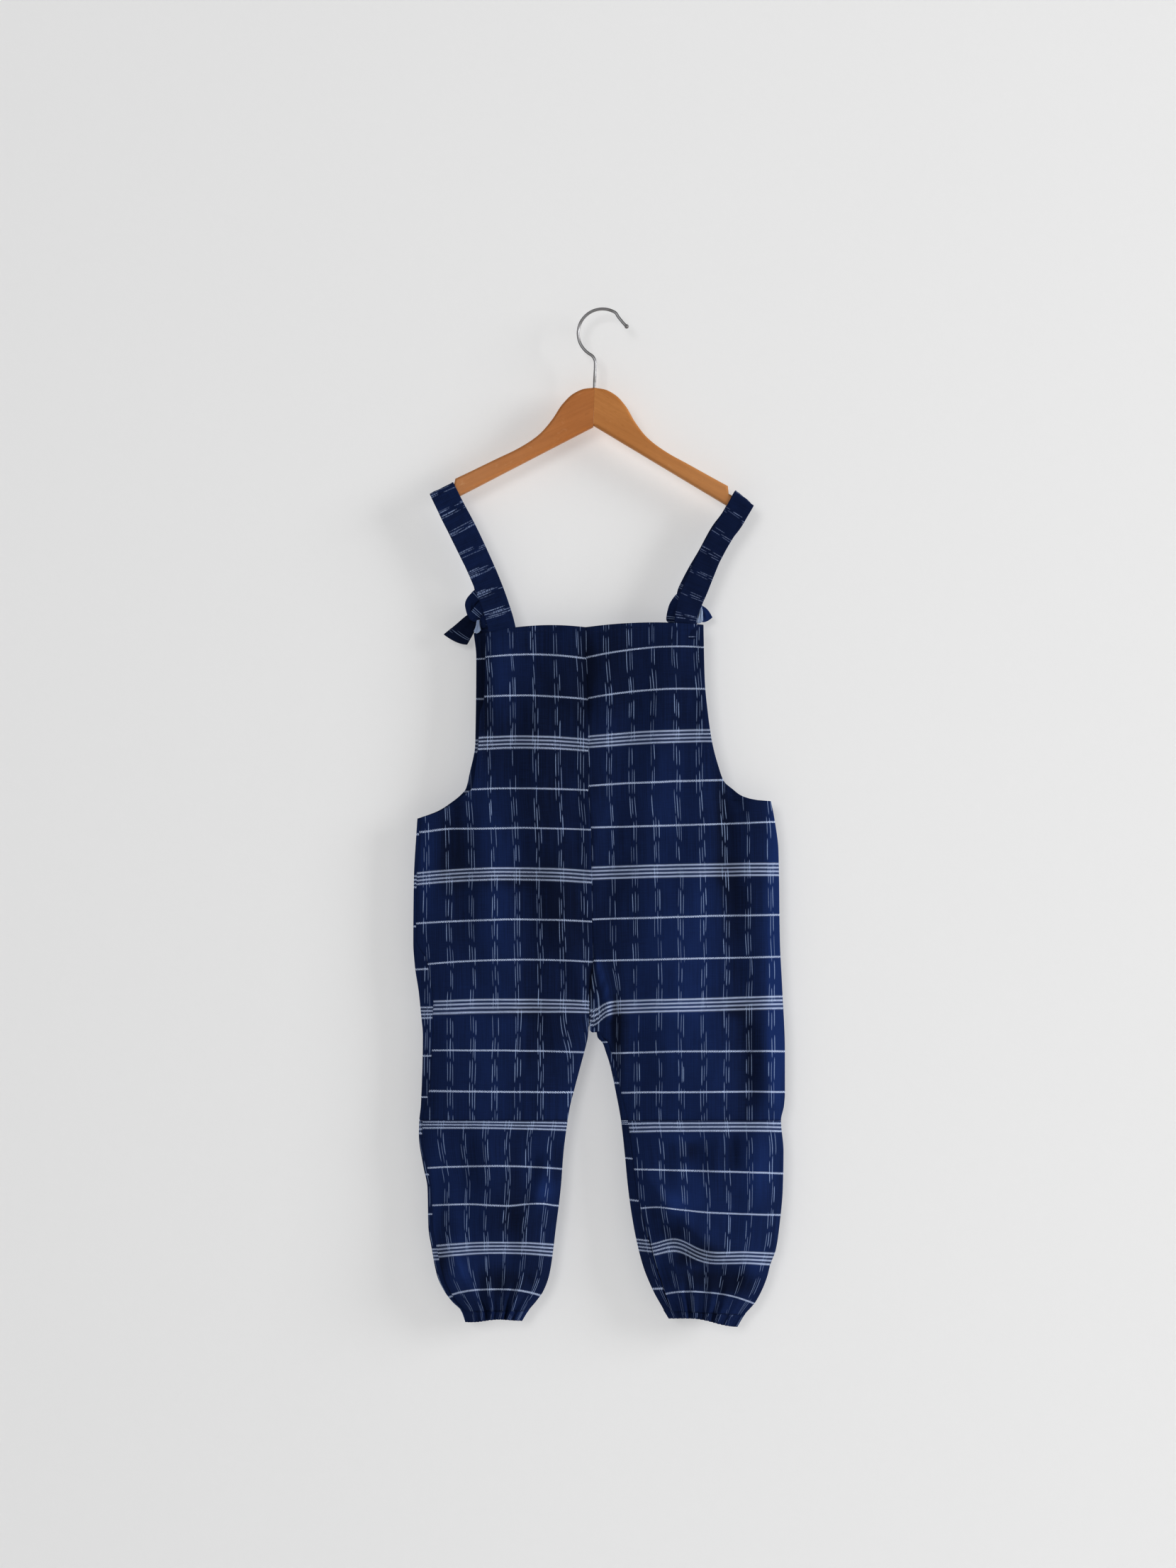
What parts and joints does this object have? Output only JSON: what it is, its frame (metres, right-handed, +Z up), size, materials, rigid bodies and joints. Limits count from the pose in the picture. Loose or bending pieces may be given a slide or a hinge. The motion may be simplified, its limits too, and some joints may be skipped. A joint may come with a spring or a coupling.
{
  "type": "bib overalls on a hanger",
  "caption": "Child's loose bib overalls of ikat-striped indigo cotton with knotted straps and gathered ankles, hung flat on a wooden hanger with a wire hook.",
  "frame": {"origin": "inner surface of the wire hook, at the point where a pin or a rail carries it", "axes": "+Z up, +X to the right as the garment's back is looked at, -Y out of the garment's back, +Y out of its front"},
  "size_m": [0.3721, 0.0391, 1.0228],
  "materials": {
    "indigo_cotton": "matte slub weave, white ikat stripes",
    "strap_cotton": "matte slub weave, stripes across",
    "knot_cotton": "matte slub weave, bunched",
    "varnished_beech": "satin varnish, orange brown",
    "steel_wire": "plain wire"
  },
  "bodies": {
    "root": {"back_left": "indigo_cotton", "back_right": "indigo_cotton", "front_left": "indigo_cotton", "front_right": "indigo_cotton", "lower_back_left": "indigo_cotton", "lower_back_right": "indigo_cotton", "lower_front_left": "indigo_cotton", "lower_front_right": "indigo_cotton", "cuff_left": "indigo_cotton", "cuff_right": "indigo_cotton", "strap_left": "strap_cotton", "strap_right": "strap_cotton", "knot_left_core": "knot_cotton", "knot_left_wrap": "knot_cotton", "knot_left_tail": "knot_cotton", "knot_left_tie": "knot_cotton", "knot_right_core": "knot_cotton", "knot_right_wrap": "knot_cotton", "knot_right_tail": "knot_cotton", "knot_right_tie": "knot_cotton", "hanger_left": "varnished_beech", "hanger_right": "varnished_beech", "hanger_hook": "steel_wire"}
  },
  "joints": []
}
